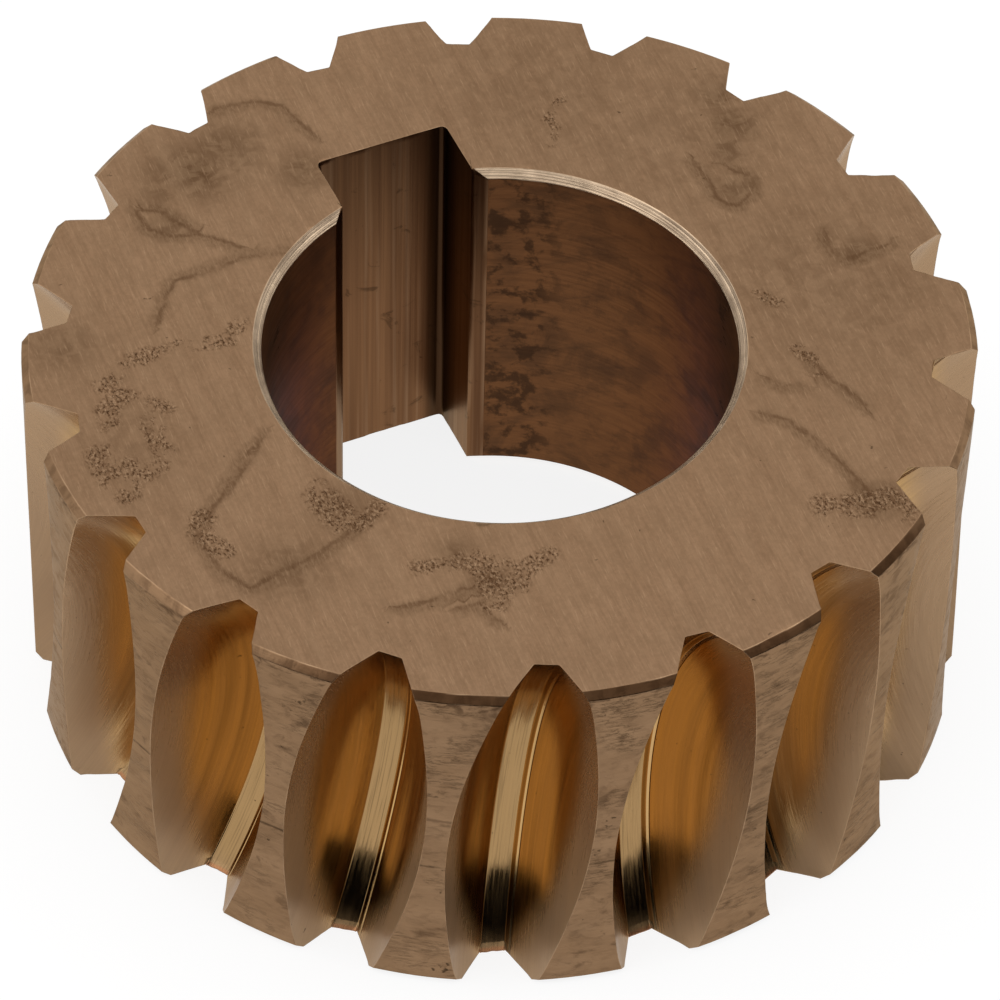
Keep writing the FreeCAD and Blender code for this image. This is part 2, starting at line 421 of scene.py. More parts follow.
# Chains of casting pits in the upper face: reach, density, and places along each
PIT_CHAINS = [
    (0.35, 1.0, [(-9.6, 5.2), (-10.4, 4.4), (-12.9, 5.1), (-14.7, 4.8), (-16.3, 4.0)]),
    (0.45, 0.9, [(-15.8, 3.2), (-16.8, 2.4), (-16.9, 1.8)]),
    (0.35, 0.6, [(-16.1, 3.1), (-15.3, 3.0), (-14.2, 1.8)]),
    (0.45, 0.8, [(-15.1, 1.4), (-15.3, 0.8), (-15.3, -0.5)]),
    (0.50, 1.0, [(-17.7, 0.6), (-18.0, -0.9), (-17.3, -1.4), (-17.6, -2.1)]),
    (0.45, 0.9, [(-16.9, -0.6), (-16.6, -1.3), (-15.5, -1.0)]),
    (0.45, 1.0, [(-15.2, -4.5), (-15.8, -5.4), (-15.1, -6.5)]),
    (0.40, 0.9, [(-10.2, -4.7), (-9.9, -5.9), (-9.6, -6.6)]),
    (0.45, 1.0, [(-10.6, -5.2), (-10.1, -7.3), (-9.3, -7.2), (-8.5, -6.7)]),
    (0.35, 0.9, [(-8.2, -10.4), (-6.9, -10.8), (-5.8, -10.9), (-4.8, -11.6)]),
    (0.50, 1.0, [(-6.0, -10.7), (-5.7, -12.4), (-5.7, -13.2), (-6.1, -13.5)]),
    (0.40, 0.9, [(-6.1, -12.5), (-5.0, -12.6), (-4.1, -12.1), (-3.0, -11.8)]),
    (0.30, 0.7, [(-4.4, -11.9), (-4.7, -13.2)]),
    (0.30, 0.8, [(8.2, 12.3), (7.2, 11.5), (7.2, 10.7), (6.8, 10.0)]),
    (0.30, 0.9, [(5.8, 8.2), (5.4, 8.0)]),
    (0.35, 0.8, [(11.3, -5.2), (11.5, -6.0), (11.5, -6.7)]),
    (0.35, 0.6, [(11.1, -1.6), (11.5, -2.2), (11.8, -2.6)]),
    (0.60, 0.9, [(8.5, -13.7), (9.8, -14.3), (10.9, -14.1), (11.6, -15.3)]),
]

# Dark patches on the upper face: place, reach and depth of the colour
PATCHES = [
    (-8.1, 14.3, 1.7, 1.0), (-6.3, 15.0, 1.8, 0.8), (-3.7, 12.6, 1.2, 0.8),
    (-10.0, 13.5, 1.0, 0.5), (-10.2, 11.7, 0.9, 0.8), (14.6, 10.0, 1.2, 0.8),
    (14.5, 8.0, 1.2, 0.9), (13.5, 6.7, 1.0, 0.8), (12.9, 4.5, 1.0, 0.8),
    (16.2, -1.0, 0.9, 1.0), (10.5, -14.3, 1.2, 0.9), (-5.8, -12.3, 0.8, 0.9),
    (-6.5, -10.3, 0.7, 0.7), (-9.7, -6.3, 1.4, 0.6), (-13.0, -8.3, 1.6, 0.6),
    (-17.0, 6.9, 1.6, 0.6), (8.0, 13.0, 6.0, 0.3), (14.0, -2.0, 6.0, 0.35),
    (12.2, 8.0, 5.0, 0.3), (-16.5, 0.5, 3.0, 0.3),
]


def turned_section_point(wheel, station):
    """The station's point on the plain turned ring, in the XZ plane."""
    zone, value = wheel.stations[station]
    if zone == "side":
        return (wheel.rim_radius(value), 0, value)
    if zone == "bore":
        return (wheel.bore, 0, value)
    z = wheel.half if zone == "upper" else -wheel.half
    radius = wheel.rim + (wheel.bore - wheel.rim) * (0.05 + 0.9 * value)
    return (radius, 0, z)


def face_zone(wheel, columns, stations):
    """The name of the zone that a face of the skin's grid belongs to."""
    zones = [wheel.stations[s][0] for s in stations]
    if "upper" in zones or "lower" in zones:
        return "ground_face"
    heights = [abs(wheel.stations[s][1]) for s in stations]
    if zones[0] == "side":
        places = [(c + HALF_GAP) % PITCH for c in columns]
        if max(places) <= 2 * HALF_GAP and max(places) - min(places) == 1:
            return "hobbed_gap"
        chamfer = wheel.half - wheel.sizes.rim_chamfer
        return "turned_chamfer" if min(heights) >= chamfer - wheel.close else "turned_land"
    if all(min(c, wheel.columns - c) <= HALF_KEYWAY for c in columns):
        return "broached_keyway"
    mouth = wheel.half - wheel.sizes.bore_chamfer
    return "bore_chamfer" if min(heights) >= mouth - wheel.close else "bored_wall"


def distance_to(x, y, line):
    """Distance from a place to a line through some places, signed by the side it lies on."""
    nearest = math.inf
    for (ax, ay), (bx, by) in zip(line, line[1:]):
        run_x, run_y = bx - ax, by - ay
        share = ((x - ax) * run_x + (y - ay) * run_y) / (run_x ** 2 + run_y ** 2)
        share = min(max(share, 0.0), 1.0)
        gap = math.hypot(x - ax - run_x * share, y - ay - run_y * share)
        if gap < abs(nearest):
            nearest = math.copysign(gap, run_x * (y - ay) - run_y * (x - ax))
    return nearest


def stains(wheel, point, station):
    """(signed distance to a tide line, nearness to it, pits) and the patches, for a point."""
    if wheel.stations[station][0] != "upper":
        return (1.0, 0.0, 0.0), 0.0
    x, y = point.x / MM, point.y / MM
    tide = min((distance_to(x, y, line) for line in TIDE_LINES), key=abs)
    near = min(max((TIDE_REACH - abs(tide)) / TIDE_FADE, 0.0), 1.0)
    pitted = max(density * math.exp(-(distance_to(x, y, line) / reach) ** 2)
                 for reach, density, line in PIT_CHAINS)
    patch = max(depth * math.exp(-(math.hypot(x - px, y - py) / reach) ** 2)
                for px, py, reach, depth in PATCHES)
    return (tide, near, pitted), patch


def surface_place(wheel, zone, column, vert, station):
    """Where a corner lies on its own surface, in metres: along the cut and across it."""
    if zone == "ground_face":
        return vert.co.x, vert.co.y
    height = wheel.stations[station][1]
    if zone in ("bored_wall", "bore_chamfer", "broached_keyway"):
        return wheel.bore_line(column, height)[2], height
    turn, _, run = wheel.outline(column, height)
    if zone == "hobbed_gap":
        return run, height
    return turn * wheel.rim, height


def edge_share(wheel, column, station):
    """How much a point belongs to a sharp edge, from 0 to 1."""
    zone, value = wheel.stations[station]
    if zone in ("upper", "lower"):
        return 0.0
    if abs(abs(value) - wheel.half) < wheel.close:
        return 1.0
    if zone == "side":
        place = (column + HALF_GAP) % PITCH
        chamfer = wheel.half - wheel.sizes.rim_chamfer
        if abs(abs(value) - chamfer) < wheel.close and place >= 2 * HALF_GAP:
            return 0.6
        return 0.8 if place in (0, 2 * HALF_GAP) else 0.0
    return 0.5 if min(column, wheel.columns - column) in (KEYWAY_WALL, HALF_KEYWAY) else 0.0


def worn(wheel, point, column, station):
    """The point after wear: nicked edges, dents in the upper face and the burr under a gap."""
    zone, value = wheel.stations[station]
    share = edge_share(wheel, column, station)
    if share:
        rough = sum(noise.noise(point * waves) * weight for waves, weight in NICKS)
        pull = max(0.0, rough) * share * NICK_DEPTH * MM
        flat = Vector((point.x, point.y, 0)).normalized()
        outside = -1 if zone == "side" else 1
        point = point + flat * outside * pull
        point.z -= math.copysign(pull, point.z) * (abs(value) > wheel.half - wheel.soft)
    if zone == "upper":
        for x, y, width, depth in DENTS:
            off = math.hypot(point.x / MM - x, point.y / MM - y) / width
            if off < 1:
                point.z -= depth * MM * (1 - off * off) ** 2
    place = (column + HALF_GAP) % PITCH - HALF_GAP
    if zone == "side" and value <= -wheel.half + wheel.soft and abs(place) <= BURR_COLUMNS:
        lump = 0.5 + 0.5 * noise.noise(Vector((column * 0.9, value / MM, 3.0)))
        flat = Vector((point.x, point.y, 0)).normalized()
        point = point + flat * lump * BURR_SIZE * MM
    return point


def build_skin(wheel):
    """The wheel's mesh: its section spun round the axis, then each point put in its place."""
    bm = bmesh.new()
    tag = bm.verts.layers.int.new(STATION_TAG)
    edge_layer = bm.verts.layers.float.new("edge")
    patch_layer = bm.verts.layers.float.new("patch")
    stain_layer = bm.verts.layers.float_vector.new("stain")
    gap_layer = bm.faces.layers.float.new("gap_number")
    uv_layer = bm.loops.layers.uv.new(UV_NAME)
    loop = []
    for station in range(len(wheel.stations)):
        vert = bm.verts.new(turned_section_point(wheel, station))
        vert[tag] = station
        loop.append(vert)
    for first, second in zip(loop, loop[1:] + loop[:1]):
        bm.edges.new((first, second))
    bmesh.ops.spin(bm, geom=bm.verts[:] + bm.edges[:], cent=(0, 0, 0), axis=(0, 0, 1),
                   dvec=(0, 0, 0), angle=2 * math.pi, steps=wheel.columns, use_merge=True,
                   use_normal_flip=False, use_duplicate=False)
    step = 2 * math.pi / wheel.columns
    column_of = {}
    for vert in bm.verts:
        column_of[vert] = round(math.atan2(vert.co.y, vert.co.x) / step) % wheel.columns
    for vert in bm.verts:
        column, station = column_of[vert], vert[tag]
        vert.co = worn(wheel, wheel.place(column, station), column, station)
        # An edge is worn to bare metal only along parts of it
        bare = 0.35 + 1.3 * noise.noise(vert.co / MM * 0.8)
        vert[edge_layer] = edge_share(wheel, column, station) * min(max(bare, 0.0), 1.0)
        vert[stain_layer], vert[patch_layer] = stains(wheel, vert.co, station)
    for face in bm.faces:
        columns = [column_of[vert] for vert in face.verts]
        if max(columns) - min(columns) > 1:
            columns = [c or wheel.columns for c in columns]
        stations = [vert[tag] for vert in face.verts]
        zone = face_zone(wheel, columns, stations)
        face.material_index = list(FINISHES).index(zone)
        face.smooth = True
        face[gap_layer] = (min(columns) + HALF_GAP) // PITCH % wheel.sizes.tooth_count
        for corner, column in zip(face.loops, columns):
            vert = corner.vert
            corner[uv_layer].uv = surface_place(wheel, zone, column, vert, vert[tag])
    bmesh.ops.recalc_face_normals(bm, faces=bm.faces[:])
    return bm


def add_node(tree, kind, inputs=None, **settings):
    """Adds a node. An input takes a number, a socket, or a node for its first output."""
    node = tree.nodes.new(kind)
    for name, value in settings.items():
        setattr(node, name, value)
    for key, value in (inputs or {}).items():
        if isinstance(value, bpy.types.Node):
            value = value.outputs[0]
        if isinstance(value, bpy.types.NodeSocket):
            tree.links.new(value, node.inputs[key])
        else:
            node.inputs[key].default_value = value
    return node


def new_object(name, bm):
    """An object in the scene that holds a finished bmesh."""
    mesh = bpy.data.meshes.new(name)
    bm.to_mesh(mesh)
    bm.free()
    made = bpy.data.objects.new(name, mesh)
    bpy.context.scene.collection.objects.link(made)
    return made


def new_material(name):
    """An empty material and its node tree."""
    material = bpy.data.materials.new(name)
    material.use_nodes = True
    material.node_tree.nodes.clear()
    return material, material.node_tree


def coats(tree, colours, base, *layers):
    """Colours laid over a base in turn: each has its colour, its mask and its strength.

    Colours go by their names. So does a mask that is an attribute of the skin.
    """
    shade = rgba(getattr(colours, base))
    for name, mask, strength in layers:
        if isinstance(mask, str):
            mask = add_node(tree, "ShaderNodeAttribute", attribute_name=mask).outputs["Fac"]
        share = add_node(tree, "ShaderNodeMath", {0: mask, 1: strength}, operation="MULTIPLY")
        shade = add_node(tree, "ShaderNodeMix",
                         {0: share, 6: shade, 7: rgba(getattr(colours, name))},
                         data_type="RGBA").outputs[2]
    return shade


def finish_metal(tree, shade, gloss, relief, dull=None, grazing="#e8dccc"):
    """Joins everything to one bronze shader.

    gloss is a mask with the roughness at its 0 and at its 1. dull is a mask with the
    roughness that it adds and the share of matt film that it lays over the metal. relief
    lists masks with the height in millimetres that each adds, which is below nothing for a
    hollow. grazing tints what is seen at a low angle.
    """
    mask, smooth, rough = gloss
    roughness = add_node(tree, "ShaderNodeMapRange",
                         {"Value": mask, "To Min": smooth, "To Max": rough})
    bare = 1.0
    if dull:
        film, added, share = dull
        roughness = add_node(tree, "ShaderNodeMath", {0: film, 1: added, 2: roughness},
                             operation="MULTIPLY_ADD")
        bare = add_node(tree, "ShaderNodeMapRange",
                        {"Value": film, "To Min": 1.0, "To Max": 1.0 - share})
    height = 0.0
    for mask, rise in relief:
        height = add_node(tree, "ShaderNodeMath", {0: mask, 1: rise * MM, 2: height},
                          operation="MULTIPLY_ADD")
    bump = add_node(tree, "ShaderNodeBump", {"Strength": 1.0, "Distance": 1.0, "Height": height})
    shader = add_node(tree, "ShaderNodeBsdfPrincipled",
                      {"Base Color": shade, "Metallic": bare, "Roughness": roughness,
                       "Specular Tint": rgba(linear(grazing)), "Normal": bump})
    add_node(tree, "ShaderNodeOutputMaterial", {"Surface": shader})


def cut_lines(tree, place, wide_mm, long_mm, turn=0.0, seed=0.0, low=0.28, high=0.72):
    """Tool marks: long narrow streaks, from 0 to 1. The first coordinate runs across them.

    Most real marks are finer than this. They are as coarse as they have to be to show.
    """
    turned = add_node(tree, "ShaderNodeMapping",
                      {"Vector": place, "Rotation": (0, 0, turn)}, vector_type="POINT")
    sized = add_node(tree, "ShaderNodeMapping",
                     {"Vector": turned, "Location": (seed, seed, 0),
                      "Scale": (1 / (wide_mm * MM), 1 / (long_mm * MM), 1)})
    marks = add_node(tree, "ShaderNodeTexNoise",
                     {"Vector": sized, "Scale": 1.0, "Detail": 3.0,
                      "Roughness": 0.65}, noise_dimensions="2D")
    return add_node(tree, "ShaderNodeMapRange", {"Value": marks, "From Min": low, "From Max": high})


def blotches(tree, place, size_mm, low, high, seed=0.0, detail=6.0, twist=0.6):
    """Patches with ragged edges, from 0 outside to 1 inside."""
    moved = add_node(tree, "ShaderNodeMapping",
                     {"Vector": place, "Location": (seed, seed * 0.7, seed * 0.3)})
    cloud = add_node(tree, "ShaderNodeTexNoise",
                     {"Vector": moved, "Scale": 1 / (size_mm * MM),
                      "Detail": detail, "Roughness": 0.62, "Distortion": twist})
    return add_node(tree, "ShaderNodeMapRange",
                    {"Value": cloud, "From Min": low, "From Max": high},
                    interpolation_type="SMOOTHSTEP")


def pits(tree, place, size_mm, reach, seed=0.0):
    """Small ragged pits, 1 in a pit and 0 between them. reach is a pit's share of its cell."""
    ragged = add_node(tree, "ShaderNodeTexNoise",
                      {"Vector": place, "Scale": 2.2 / (size_mm * MM), "Detail": 3.0})
    shift = add_node(tree, "ShaderNodeVectorMath",
                     {0: ragged.outputs["Color"], "Scale": size_mm * MM * 0.8},
                     operation="SCALE")
    moved = add_node(tree, "ShaderNodeVectorMath", {0: place, 1: shift}, operation="ADD")
    aside = add_node(tree, "ShaderNodeVectorMath",
                     {0: moved, 1: (seed, seed, seed)}, operation="ADD")
    cells = add_node(tree, "ShaderNodeTexVoronoi", {"Vector": aside, "Scale": 1 / (size_mm * MM)})
    return add_node(tree, "ShaderNodeMapRange",
                    {"Value": cells.outputs["Distance"], "From Min": reach,
                     "From Max": reach * 0.5}, interpolation_type="SMOOTHSTEP")


def band(tree, value, middle, half_width, soft):
    """1 where a value lies within half a width of the middle, falling to 0 over soft."""
    off = add_node(tree, "ShaderNodeMath", {0: value, 1: middle}, operation="SUBTRACT")
    apart = add_node(tree, "ShaderNodeMath", {0: off}, operation="ABSOLUTE")
    return add_node(tree, "ShaderNodeMapRange",
                    {"Value": apart, "From Min": half_width + soft,
                     "From Max": half_width}, interpolation_type="SMOOTHSTEP")


def overlap(tree, first, *others):
    """Where masks overlap: each is cut down by the next."""
    for other in others:
        first = add_node(tree, "ShaderNodeMath", {0: first, 1: other}, operation="MULTIPLY")
    return first


def crowd(tree, place, density):
    """Where pits crowd: ragged islands that grow with the density."""
    ragged = blotches(tree, place, 0.9, 0.32, 0.62, seed=0.02)
    return add_node(tree, "ShaderNodeMapRange",
                    {"Value": overlap(tree, ragged, density), "From Min": 0.10, "From Max": 0.42})


def wandering(tree, place, distance, amount):
    """A distance made to wander to both sides by an amount in the same unit."""
    cloud = add_node(tree, "ShaderNodeTexNoise",
                     {"Vector": place, "Scale": 1 / (0.9 * MM), "Detail": 5.0,
                      "Roughness": 0.62})
    off = add_node(tree, "ShaderNodeMath", {0: cloud, 1: 0.5}, operation="SUBTRACT")
    return add_node(tree, "ShaderNodeMath", {0: off, 1: 2 * amount, 2: distance},
                    operation="MULTIPLY_ADD")


class WheelColours(bpy.types.PropertyGroup):
    """The colours of the bronze and of what lies on it."""
    ground: colour("Ground face", "#947458", "Satin bronze of the two side faces")
    ground_dark: colour("Ground face, dark", "#745a42", "Handled and oxidised patches")
    land: colour("Tooth land", "#8c6e52", "Turned rim between the gaps")
    land_dark: colour("Tooth land, smudged", "#4c3626", "Dark smudges on the rim")
    gap: colour("Tooth gap", "#cba36a", "Bronze that the hob cut")
    gap_floor: colour("Gap floor", "#a8875c", "Bright floor of a gap")
    gap_dull: colour("Gap, dulled", "#b09070", "Gap wall near the rim")
    bore: colour("Bore", "#7c5334", "Bored wall")
    keyway: colour("Keyway", "#886243", "Broached keyway")
    keyway_dark: colour("Keyway, dark", "#5a3c28", "Dark broach lines")
    # Painted highlight: the turned ring colour is paler than the bronze, for the bright bore
    # chamfer
    ring: colour("Turned ring", "#f0d4b4", "Bright turned chamfer")
    edge: colour("Worn edge", "#c4a280", "Bare metal on the edges")
    # The stain and pit colours also paint shade. Pit paints the shadow in the keyway's corner and
    # the shadow line beside a gap's floor. Both paint the dark reflection on the rim bevel's front
    stain: colour("Stain", "#553a25", "Brown film of dried coolant")
    pit: colour("Pit", "#2e1e12", "Dirt in pits")
    burr: colour("Burr", "#b87850", "Fresh coppery burr under a gap")


def rgba(value):
    """A colour as the four numbers that a socket takes."""
    return (*value, 1.0)


def bronze_surface_ground(tree, colours):
    """Leaded bronze, surface ground: a satin face with short straight lines, brown tide
    lines of dried coolant, dark patches and chains of small casting pits."""
    place = add_node(tree, "ShaderNodeTexCoord").outputs["Object"]
    patch = add_node(tree, "ShaderNodeAttribute", attribute_name="patch").outputs["Fac"]
    stain = add_node(tree, "ShaderNodeAttribute", attribute_name="stain").outputs["Vector"]
    distance, near, density = add_node(tree, "ShaderNodeSeparateXYZ", {0: stain}).outputs
    fine = cut_lines(tree, place, 0.12, 1.8, turn=GRIND_TURN)
    broad = cut_lines(tree, place, 0.7, 6.0, turn=GRIND_TURN, seed=3.1)
    bright = cut_lines(tree, place, 0.09, 0.9, turn=GRIND_TURN + 0.05, seed=7.7, low=0.58, high=0.8)
    grit = blotches(tree, place, 0.2, 0.40, 0.62, seed=0.017, detail=2.0)
    mottle = blotches(tree, place, 1.6, 0.38, 0.68, seed=0.011)
    cloudy = blotches(tree, place, 0.9, 0.42, 0.56, seed=0.041)
    grain = cut_lines(tree, place, 0.12, 0.3, turn=GRIND_TURN, seed=1.3, low=0.42, high=0.62)
    dashes = cut_lines(tree, place, 0.13, 0.2, turn=GRIND_TURN, seed=9.2, low=0.49, high=0.58)
    glints = cut_lines(tree, place, 0.13, 0.2, turn=GRIND_TURN, seed=5.6, low=0.53, high=0.6)
    line = wandering(tree, place, distance, 0.3)
    broken = blotches(tree, place, 1.3, 0.34, 0.56, seed=0.05)
    tide = overlap(tree, band(tree, line, 0.0, 0.02, 0.16), near, broken)
    halo = overlap(tree, band(tree, line, -0.15, 0.1, 0.45), near)
    crowded = crowd(tree, place, density)
    pitted = overlap(tree, dashes, crowded)
    lone = pits(tree, place, 1.7, 0.05, seed=0.3)
    shade = coats(tree, colours, "ground",
                  ("ground_dark", fine, 0.42),
                  ("ground_dark", grit, 0.25),
                  ("ground_dark", mottle, 0.20),
                  ("ground_dark", patch, 0.9),
                  ("stain", overlap(tree, patch, cloudy), 0.7),
                  ("stain", overlap(tree, patch, grain), 0.2),
                  ("edge", broad, 0.12),
                  ("ground_dark", halo, 0.35),
                  ("stain", overlap(tree, grain, halo), 0.3),
                  ("stain", tide, 0.5),
                  ("stain", crowded, 0.22),
                  ("stain", pitted, 0.85),
                  ("pit", overlap(tree, pitted, grain), 0.45),
                  ("edge", overlap(tree, glints, crowded), 0.3),
                  ("pit", lone, 0.6),
                  ("edge", bright, 0.28),
                  ("edge", "edge", 0.7))
    finish_metal(tree, shade, (fine, 0.28, 0.40),
                 [(fine, 0.002), (grit, 0.002), (pitted, -0.012), (tide, -0.001)])


def bronze_turned_land(tree, colours):
    """Bronze, rough turned: pinkish tooth lands with broken turning lines round the rim,
    dark handling smudges, small pits and the step where the tool was taken off."""
    place = add_node(tree, "ShaderNodeUVMap", uv_map=UV_NAME)
    height = add_node(tree, "ShaderNodeSeparateXYZ", {0: place}).outputs[1]
    lines = cut_lines(tree, place, 1.4, 0.16)
    broad = cut_lines(tree, place, 4.0, 1.6, seed=1.7)
    stretched = add_node(tree, "ShaderNodeMapping", {"Vector": place, "Scale": (0.6, 1, 1)})
    clouds = blotches(tree, stretched, 2.2, 0.42, 0.66, seed=0.013)
    smudges = blotches(tree, stretched, 1.1, 0.57, 0.68)
    rough = blotches(tree, stretched, 0.4, 0.46, 0.66, seed=0.03)
    torn = overlap(tree, cut_lines(tree, place, 0.8, 0.13, seed=3.9, low=0.5, high=0.62),
                   blotches(tree, stretched, 1.8, 0.46, 0.60, seed=0.021))
    hollow = overlap(tree, pits(tree, place, 0.42, 0.3),
                     blotches(tree, stretched, 1.4, 0.58, 0.64, seed=0.07))
    uneven = wandering(tree, place, 0.0, 0.12 * MM)
    level = add_node(tree, "ShaderNodeMath", {0: height, 1: uneven}, operation="ADD")
    step = overlap(tree, band(tree, level, -STEP_BELOW * MM, 0.03 * MM, 0.06 * MM),
                   blotches(tree, place, 2.0, 0.4, 0.55, seed=0.09))
    dirty_top = add_node(tree, "ShaderNodeMapRange",
                         {"Value": level, "From Min": 7.9 * MM, "From Max": 8.7 * MM})
    shade = coats(tree, colours, "land",
                  ("land_dark", lines, 0.14),
                  ("land_dark", clouds, 0.2),
                  ("edge", broad, 0.14),
                  ("land_dark", overlap(tree, rough, clouds), 0.22),
                  ("land_dark", torn, 0.28),
                  ("land_dark", smudges, 0.5),
                  ("land_dark", overlap(tree, dirty_top, rough), 0.8),
                  ("pit", hollow, 0.75),
                  ("pit", step, 0.6),
                  ("edge", "edge", 0.6))
    finish_metal(tree, shade, (rough, 0.36, 0.5),
                 [(lines, 0.004), (rough, 0.006), (torn, -0.012), (hollow, -0.02),
                  (step, -0.01)])


def bronze_turned_bevel(tree, colours):
    """Bronze, finish turned: the narrow smooth bevel round each rim, smudged where hands have
    held it, with a painted dark reflection on the front."""
    place = add_node(tree, "ShaderNodeUVMap", uv_map=UV_NAME)
    lines = cut_lines(tree, place, 2.5, 0.07)
    smudges = blotches(tree, place, 0.8, 0.42, 0.62)
    # Painted dark reflection: the side of the bevel that faces this way is laid over with the stain
    # and pit colours
    solid_place = add_node(tree, "ShaderNodeTexCoord").outputs["Object"]
    forward = add_node(tree, "ShaderNodeVectorMath", {0: solid_place, 1: DARK_REFLECTION_SIDE},
                       operation="DOT_PRODUCT").outputs["Value"]
    front_dark_reflection = add_node(tree, "ShaderNodeMapRange", {"Value": forward, "From Min": 13.0 * MM,
                                                  "From Max": 16.0 * MM})
    shade = coats(tree, colours, "land",
                  ("land_dark", lines, 0.2),
                  ("land_dark", smudges, 0.4),
                  # painted dark reflection on the front of the bevel
                  ("stain", front_dark_reflection, 0.85),
                  ("pit", front_dark_reflection, 0.35),
                  ("pit", overlap(tree, front_dark_reflection, smudges), 0.25),
                  ("edge", "edge", 0.6))
    finish_metal(tree, shade, (smudges, 0.32, 0.42), [(lines, 0.002), (smudges, 0.006)])


def bronze_hobbed_gap(tree, colours):
    """Bronze, hobbed: walls that glow golden between each other, softly streaked along the
    cut, with a polished floor, a light line beside it, duller metal towards the rim and a
    coppery burr at the lower end."""
    place = add_node(tree, "ShaderNodeUVMap", uv_map=UV_NAME)
    gap = add_node(tree, "ShaderNodeAttribute", attribute_name="gap_number").outputs["Fac"]
    # Each gap takes its marks from a place of its own, so that no two look alike
    shift = add_node(tree, "ShaderNodeVectorMath",
                     {0: gap, 1: (37 * MM, 23 * MM, 0)}, operation="MULTIPLY")
    own = add_node(tree, "ShaderNodeVectorMath", {0: place, 1: shift}, operation="ADD")
    fine = cut_lines(tree, own, 0.07, 14.0)
    ragged = cut_lines(tree, own, 0.10, 1.6, seed=5.2)
    broad = cut_lines(tree, own, 0.55, 30.0, seed=2.3)
    deep = cut_lines(tree, own, 0.9, 40.0, seed=6.6, low=0.45, high=0.65)
    # along is measured from the middle of the floor up each wall
    along, height, _ = add_node(tree, "ShaderNodeSeparateXYZ", {0: place}).outputs
    on_floor = band(tree, along, 0.0, 0.47 * MM, 0.05 * MM)
    rise = add_node(tree, "ShaderNodeMapRange", {"Value": along, "From Min": 0.74 * MM,
                                                 "From Max": 0.86 * MM})
    fall = add_node(tree, "ShaderNodeMapRange", {"Value": along, "From Min": 0.91 * MM,
                                                 "From Max": 0.87 * MM})
    ledge = overlap(tree, rise, fall)
    shadow_line = band(tree, along, 0.62 * MM, 0.04 * MM, 0.05 * MM)
    floor_line = overlap(tree, on_floor,
                         cut_lines(tree, own, 0.09, 6.0, seed=8.1, low=0.55, high=0.66))
    lower = add_node(tree, "ShaderNodeMapRange",
                     {"Value": height, "From Min": 6.0 * MM, "From Max": -5.0 * MM,
                      "To Min": 0.4})
    at_foot = overlap(tree, band(tree, height, -9.0 * MM, 0.08 * MM, 0.10 * MM),
                      band(tree, along, 0.0, 0.5 * MM, 0.2 * MM))
    spot = add_node(tree, "ShaderNodeTexCoord").outputs["Object"]
    level = add_node(tree, "ShaderNodeVectorMath", {0: spot, 1: (1, 1, 0)}, operation="MULTIPLY")
    out = add_node(tree, "ShaderNodeVectorMath", {0: level}, operation="LENGTH")
    near_rim = add_node(tree, "ShaderNodeMapRange",
                        {"Value": out.outputs["Value"], "From Min": 17.4 * MM,
                         "From Max": 19.0 * MM}, interpolation_type="SMOOTHSTEP")
    dulled = overlap(tree, near_rim, lower)
    hollow = pits(tree, own, 0.8, 0.07)
    shade = coats(tree, colours, "gap",
                  ("gap_dull", broad, 0.35),
                  ("pit", deep, 0.28),
                  ("gap_floor", on_floor, 1.0),
                  ("gap_dull", near_rim, 0.9),
                  ("pit", fine, 0.10),
                  ("pit", shadow_line, 0.4),
                  ("pit", floor_line, 0.3),
                  ("pit", hollow, 0.7),
                  ("edge", "edge", 0.5),
                  ("burr", at_foot, 0.6))
    finish_metal(tree, shade, (ragged, 0.09, 0.22),
                 [(fine, 0.0008), (broad, 0.002), (ledge, -0.09)], dull=(dulled, 0.2, 0.6))


def bronze_bored_wall(tree, colours):
    """Bronze, bored: a dark smooth wall with feed lines round it and old grease stains."""
    place = add_node(tree, "ShaderNodeUVMap", uv_map=UV_NAME)
    lines = cut_lines(tree, place, 5.0, 0.16)
    patches = blotches(tree, place, 2.6, 0.46, 0.66)
    swirls = cut_lines(tree, place, 0.7, 7.0, turn=-1.1, seed=2.9, low=0.5, high=0.75)
    spots = blotches(tree, place, 0.9, 0.48, 0.62, seed=0.01, twist=0.2)
    along = add_node(tree, "ShaderNodeSeparateXYZ", {0: place})
    by_keyway = band(tree, along, BESIDE_KEYWAY * MM, 0.8 * MM, 1.6 * MM)
    shade = coats(tree, colours, "bore",
                  ("land_dark", lines, 0.22),
                  ("land_dark", patches, 0.5),
                  ("land_dark", swirls, 0.4),
                  ("pit", overlap(tree, spots, by_keyway), 0.7),
                  ("land_dark", spots, 0.3))
    finish_metal(tree, shade, (lines, 0.34, 0.44), [(lines, 0.002)],
                 dull=(1.0, 0.0, 0.25), grazing="#7c6050")


def bronze_ringed_chamfer(tree, colours):
    """Bronze, turned with a sharp tool: the bore's chamfer with fine rings, and a pale colour that
    is a painted highlight.
    """
    place = add_node(tree, "ShaderNodeUVMap", uv_map=UV_NAME)
    lines = cut_lines(tree, place, 14.0, 0.045)
    patches = blotches(tree, place, 2.0, 0.42, 0.60)
    # the pale ring colour is a painted highlight
    shade = coats(tree, colours, "ring",
                  ("land_dark", lines, 0.75),
                  ("land_dark", patches, 0.25),
                  ("edge", "edge", 0.5))
    finish_metal(tree, shade, (lines, 0.2, 0.4), [(lines, 0.02)])


